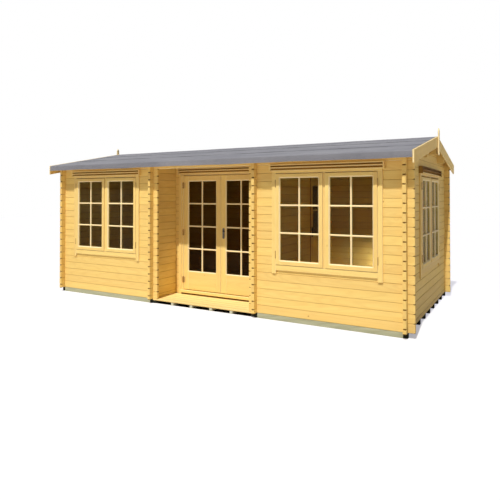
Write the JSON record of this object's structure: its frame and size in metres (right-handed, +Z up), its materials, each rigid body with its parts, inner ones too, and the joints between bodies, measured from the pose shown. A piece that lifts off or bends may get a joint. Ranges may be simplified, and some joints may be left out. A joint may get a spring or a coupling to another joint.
{
  "type": "log cabin",
  "caption": "Log cabin with crossed log corners, a recessed porch with glazed double doors, casement windows and a low felted ridge roof.",
  "frame": {"origin": "middle of the cabin's footprint, on the ground under the bearers", "axes": "+X along the ridge to the right seen from the porch, -Y the porch side, +Z up"},
  "size_m": [6.0772, 3.234, 2.5723],
  "materials": {
    "logs": "planed untreated spruce",
    "joinery": "planed untreated spruce",
    "floor_boards": "planed boards",
    "roof_timber": "planed boards",
    "treated_timber": "pressure treated, sawn",
    "roofing_felt": "mineral faced bitumen felt",
    "glass": "clear",
    "dark_metal": "satin"
  },
  "bodies": {
    "root": {"bearers": "treated_timber", "porch_joists": "treated_timber", "porch_deck": "floor_boards", "room_floors": "floor_boards", "left_front_wall": "logs", "right_front_wall": "logs", "eave_log": "logs", "door_wall": "logs", "back_wall": "logs", "left_gable_wall": "logs", "right_gable_wall": "logs", "porch_left_wall": "logs", "partition_wall": "logs", "purlins": "roof_timber", "roof_boards": "roof_timber", "roofing_felt": "roofing_felt", "eave_fascias": "roof_timber", "barge_boards": "joinery", "finials": "joinery", "door_frame": "joinery", "door_trim": "joinery", "door_hinge_pins": "dark_metal", "inner_door_frame": "joinery", "inner_hinge_pins": "dark_metal", "left_window_frame": "joinery", "left_window_casements": "joinery", "left_window_glass": "glass", "right_window_frame": "joinery", "right_window_casements": "joinery", "right_window_glass": "glass", "gable_window_frame": "joinery", "gable_window_casements": "joinery", "gable_window_glass": "glass"},
    "left_leaf": {"left_door": "joinery", "left_door_glass": "glass", "left_door_hinges": "dark_metal"},
    "right_leaf": {"right_door": "joinery", "right_door_glass": "glass", "right_door_hinges": "dark_metal", "right_door_handle": "dark_metal"},
    "inner_leaf": {"inner_door": "joinery", "inner_door_glass": "glass", "inner_door_hinges": "dark_metal", "inner_door_handle": "dark_metal"}
  },
  "joints": [
    {"name": "left_door_hinge", "type": "hinge", "parent": "root", "child": "left_leaf", "pos_m": [-0.712, -0.8853, 1.049], "axis": [0, 0, -1], "range_deg": [0, 90]},
    {"name": "right_door_hinge", "type": "hinge", "parent": "root", "child": "right_leaf", "pos_m": [0.712, -0.8853, 1.049], "axis": [0, 0, 1], "range_deg": [0, 90]},
    {"name": "inner_door_hinge", "type": "hinge", "parent": "root", "child": "inner_leaf", "pos_m": [0.9353, 1.1955, 1.022], "axis": [0, 0, 1], "range_deg": [0, 90]}
  ]
}
